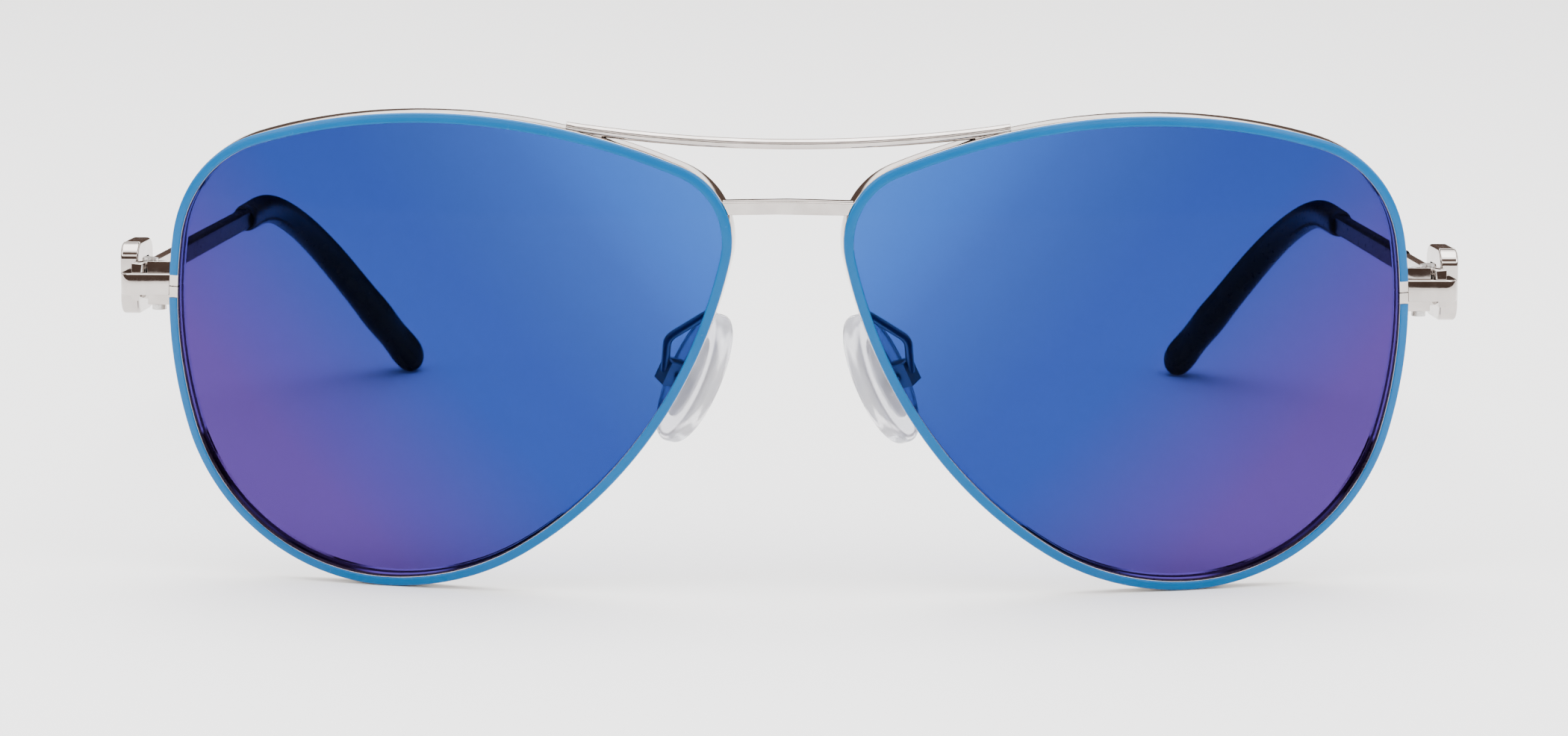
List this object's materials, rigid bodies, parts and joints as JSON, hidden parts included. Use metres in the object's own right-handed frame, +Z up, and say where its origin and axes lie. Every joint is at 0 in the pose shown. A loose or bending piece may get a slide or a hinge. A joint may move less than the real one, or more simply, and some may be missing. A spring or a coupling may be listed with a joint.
{
  "type": "aviator sunglasses",
  "caption": "Aviator sunglasses with wire rims, blue mirrored teardrop lenses, blue enamel front, double bridge, adjustable nose pads and folding temples with curled tips.",
  "frame": {"origin": "bottom centre of the bounding box, on the surface that the rims and the temple tips stand on, with the temples open", "axes": "+X towards the wearer's left, +Y from the front back along the temples, +Z up"},
  "size_m": [0.1428, 0.142, 0.0515],
  "materials": {
    "silver_metal": "polished silver plating",
    "screw_steel": "bright steel screws",
    "blue_enamel": "glossy light blue enamel",
    "mirror_lens": "tinted lens with a blue mirror coat that turns violet towards the lower temple side",
    "black_tip": "black acetate",
    "clear_silicone": "clear soft silicone",
    "pad_insert": "clear grey hard insert"
  },
  "bodies": {
    "front": {"eyewire_left": "silver_metal", "eyewire_right": "silver_metal", "enamel_left": "blue_enamel", "enamel_right": "blue_enamel", "lens_left": "mirror_lens", "lens_right": "mirror_lens", "bridge": "silver_metal", "brow_bar": "silver_metal", "end_piece_left": "silver_metal", "end_piece_right": "silver_metal", "rim_lock_upper_left": "silver_metal", "rim_lock_upper_right": "silver_metal", "rim_lock_lower_left": "silver_metal", "rim_lock_lower_right": "silver_metal", "rim_lock_screw_left": "screw_steel", "rim_lock_screw_right": "screw_steel", "hinge_front_left": "silver_metal", "hinge_front_right": "silver_metal", "hinge_screw_left": "screw_steel", "hinge_screw_right": "screw_steel", "pad_arm_left": "silver_metal", "pad_arm_right": "silver_metal", "pad_screw_left": "screw_steel", "pad_screw_right": "screw_steel"},
    "temple_left": {"temple_arm_left": "silver_metal", "temple_tip_left": "black_tip", "ornament_left": "silver_metal", "hinge_temple_left": "silver_metal"},
    "pad_left": {"nose_pad_left": "clear_silicone", "pad_core_left": "pad_insert"},
    "temple_right": {"temple_arm_right": "silver_metal", "temple_tip_right": "black_tip", "ornament_right": "silver_metal", "hinge_temple_right": "silver_metal"},
    "pad_right": {"nose_pad_right": "clear_silicone", "pad_core_right": "pad_insert"}
  },
  "joints": [
    {"name": "left_temple_fold", "type": "hinge", "parent": "front", "child": "temple_left", "pos_m": [0.0682, -0.05647, 0.03186], "axis": [-0.0883, 0.0404, 0.9953], "range_deg": [0, 80]},
    {"name": "right_temple_fold", "type": "hinge", "parent": "front", "child": "temple_right", "pos_m": [-0.0682, -0.05647, 0.03186], "axis": [-0.0883, -0.0404, -0.9953], "range_deg": [0, 70]},
    {"name": "left_pad_rock", "type": "hinge", "parent": "front", "child": "pad_left", "pos_m": [0.0118, -0.06233, 0.02307], "axis": [-0.4568, -0.84, -0.2928], "range_deg": [-8, 8]},
    {"name": "right_pad_rock", "type": "hinge", "parent": "front", "child": "pad_right", "pos_m": [-0.0118, -0.06233, 0.02307], "axis": [-0.4568, 0.84, 0.2928], "range_deg": [-8, 8]}
  ]
}
